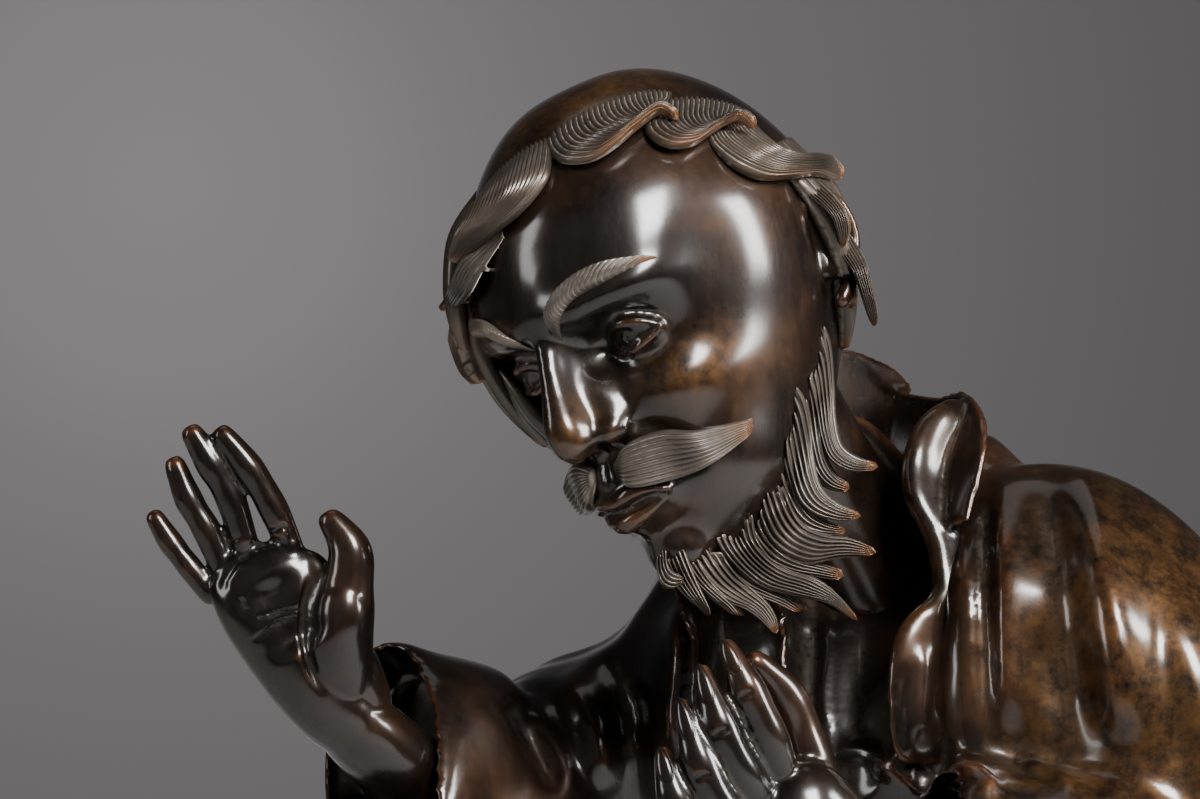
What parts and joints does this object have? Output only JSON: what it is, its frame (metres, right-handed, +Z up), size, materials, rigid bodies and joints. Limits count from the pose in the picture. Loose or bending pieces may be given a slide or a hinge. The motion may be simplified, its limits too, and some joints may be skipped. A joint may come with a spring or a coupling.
{
  "type": "bronze figure of an immortal",
  "caption": "Cast bronze figure of an old bearded immortal in a loose robe, stooping with raised hands on a low rock base.",
  "frame": {"origin": "centre of the flat underside of the rock base", "axes": "+Z up, the figure faces -Y, its left hand side is +X"},
  "size_m": [0.1687, 0.1515, 0.3939],
  "materials": {
    "bronze": "polished dark brown patina, worn to orange brown on edges"
  },
  "bodies": {
    "root": {"immortal_figure": "bronze"}
  },
  "joints": []
}
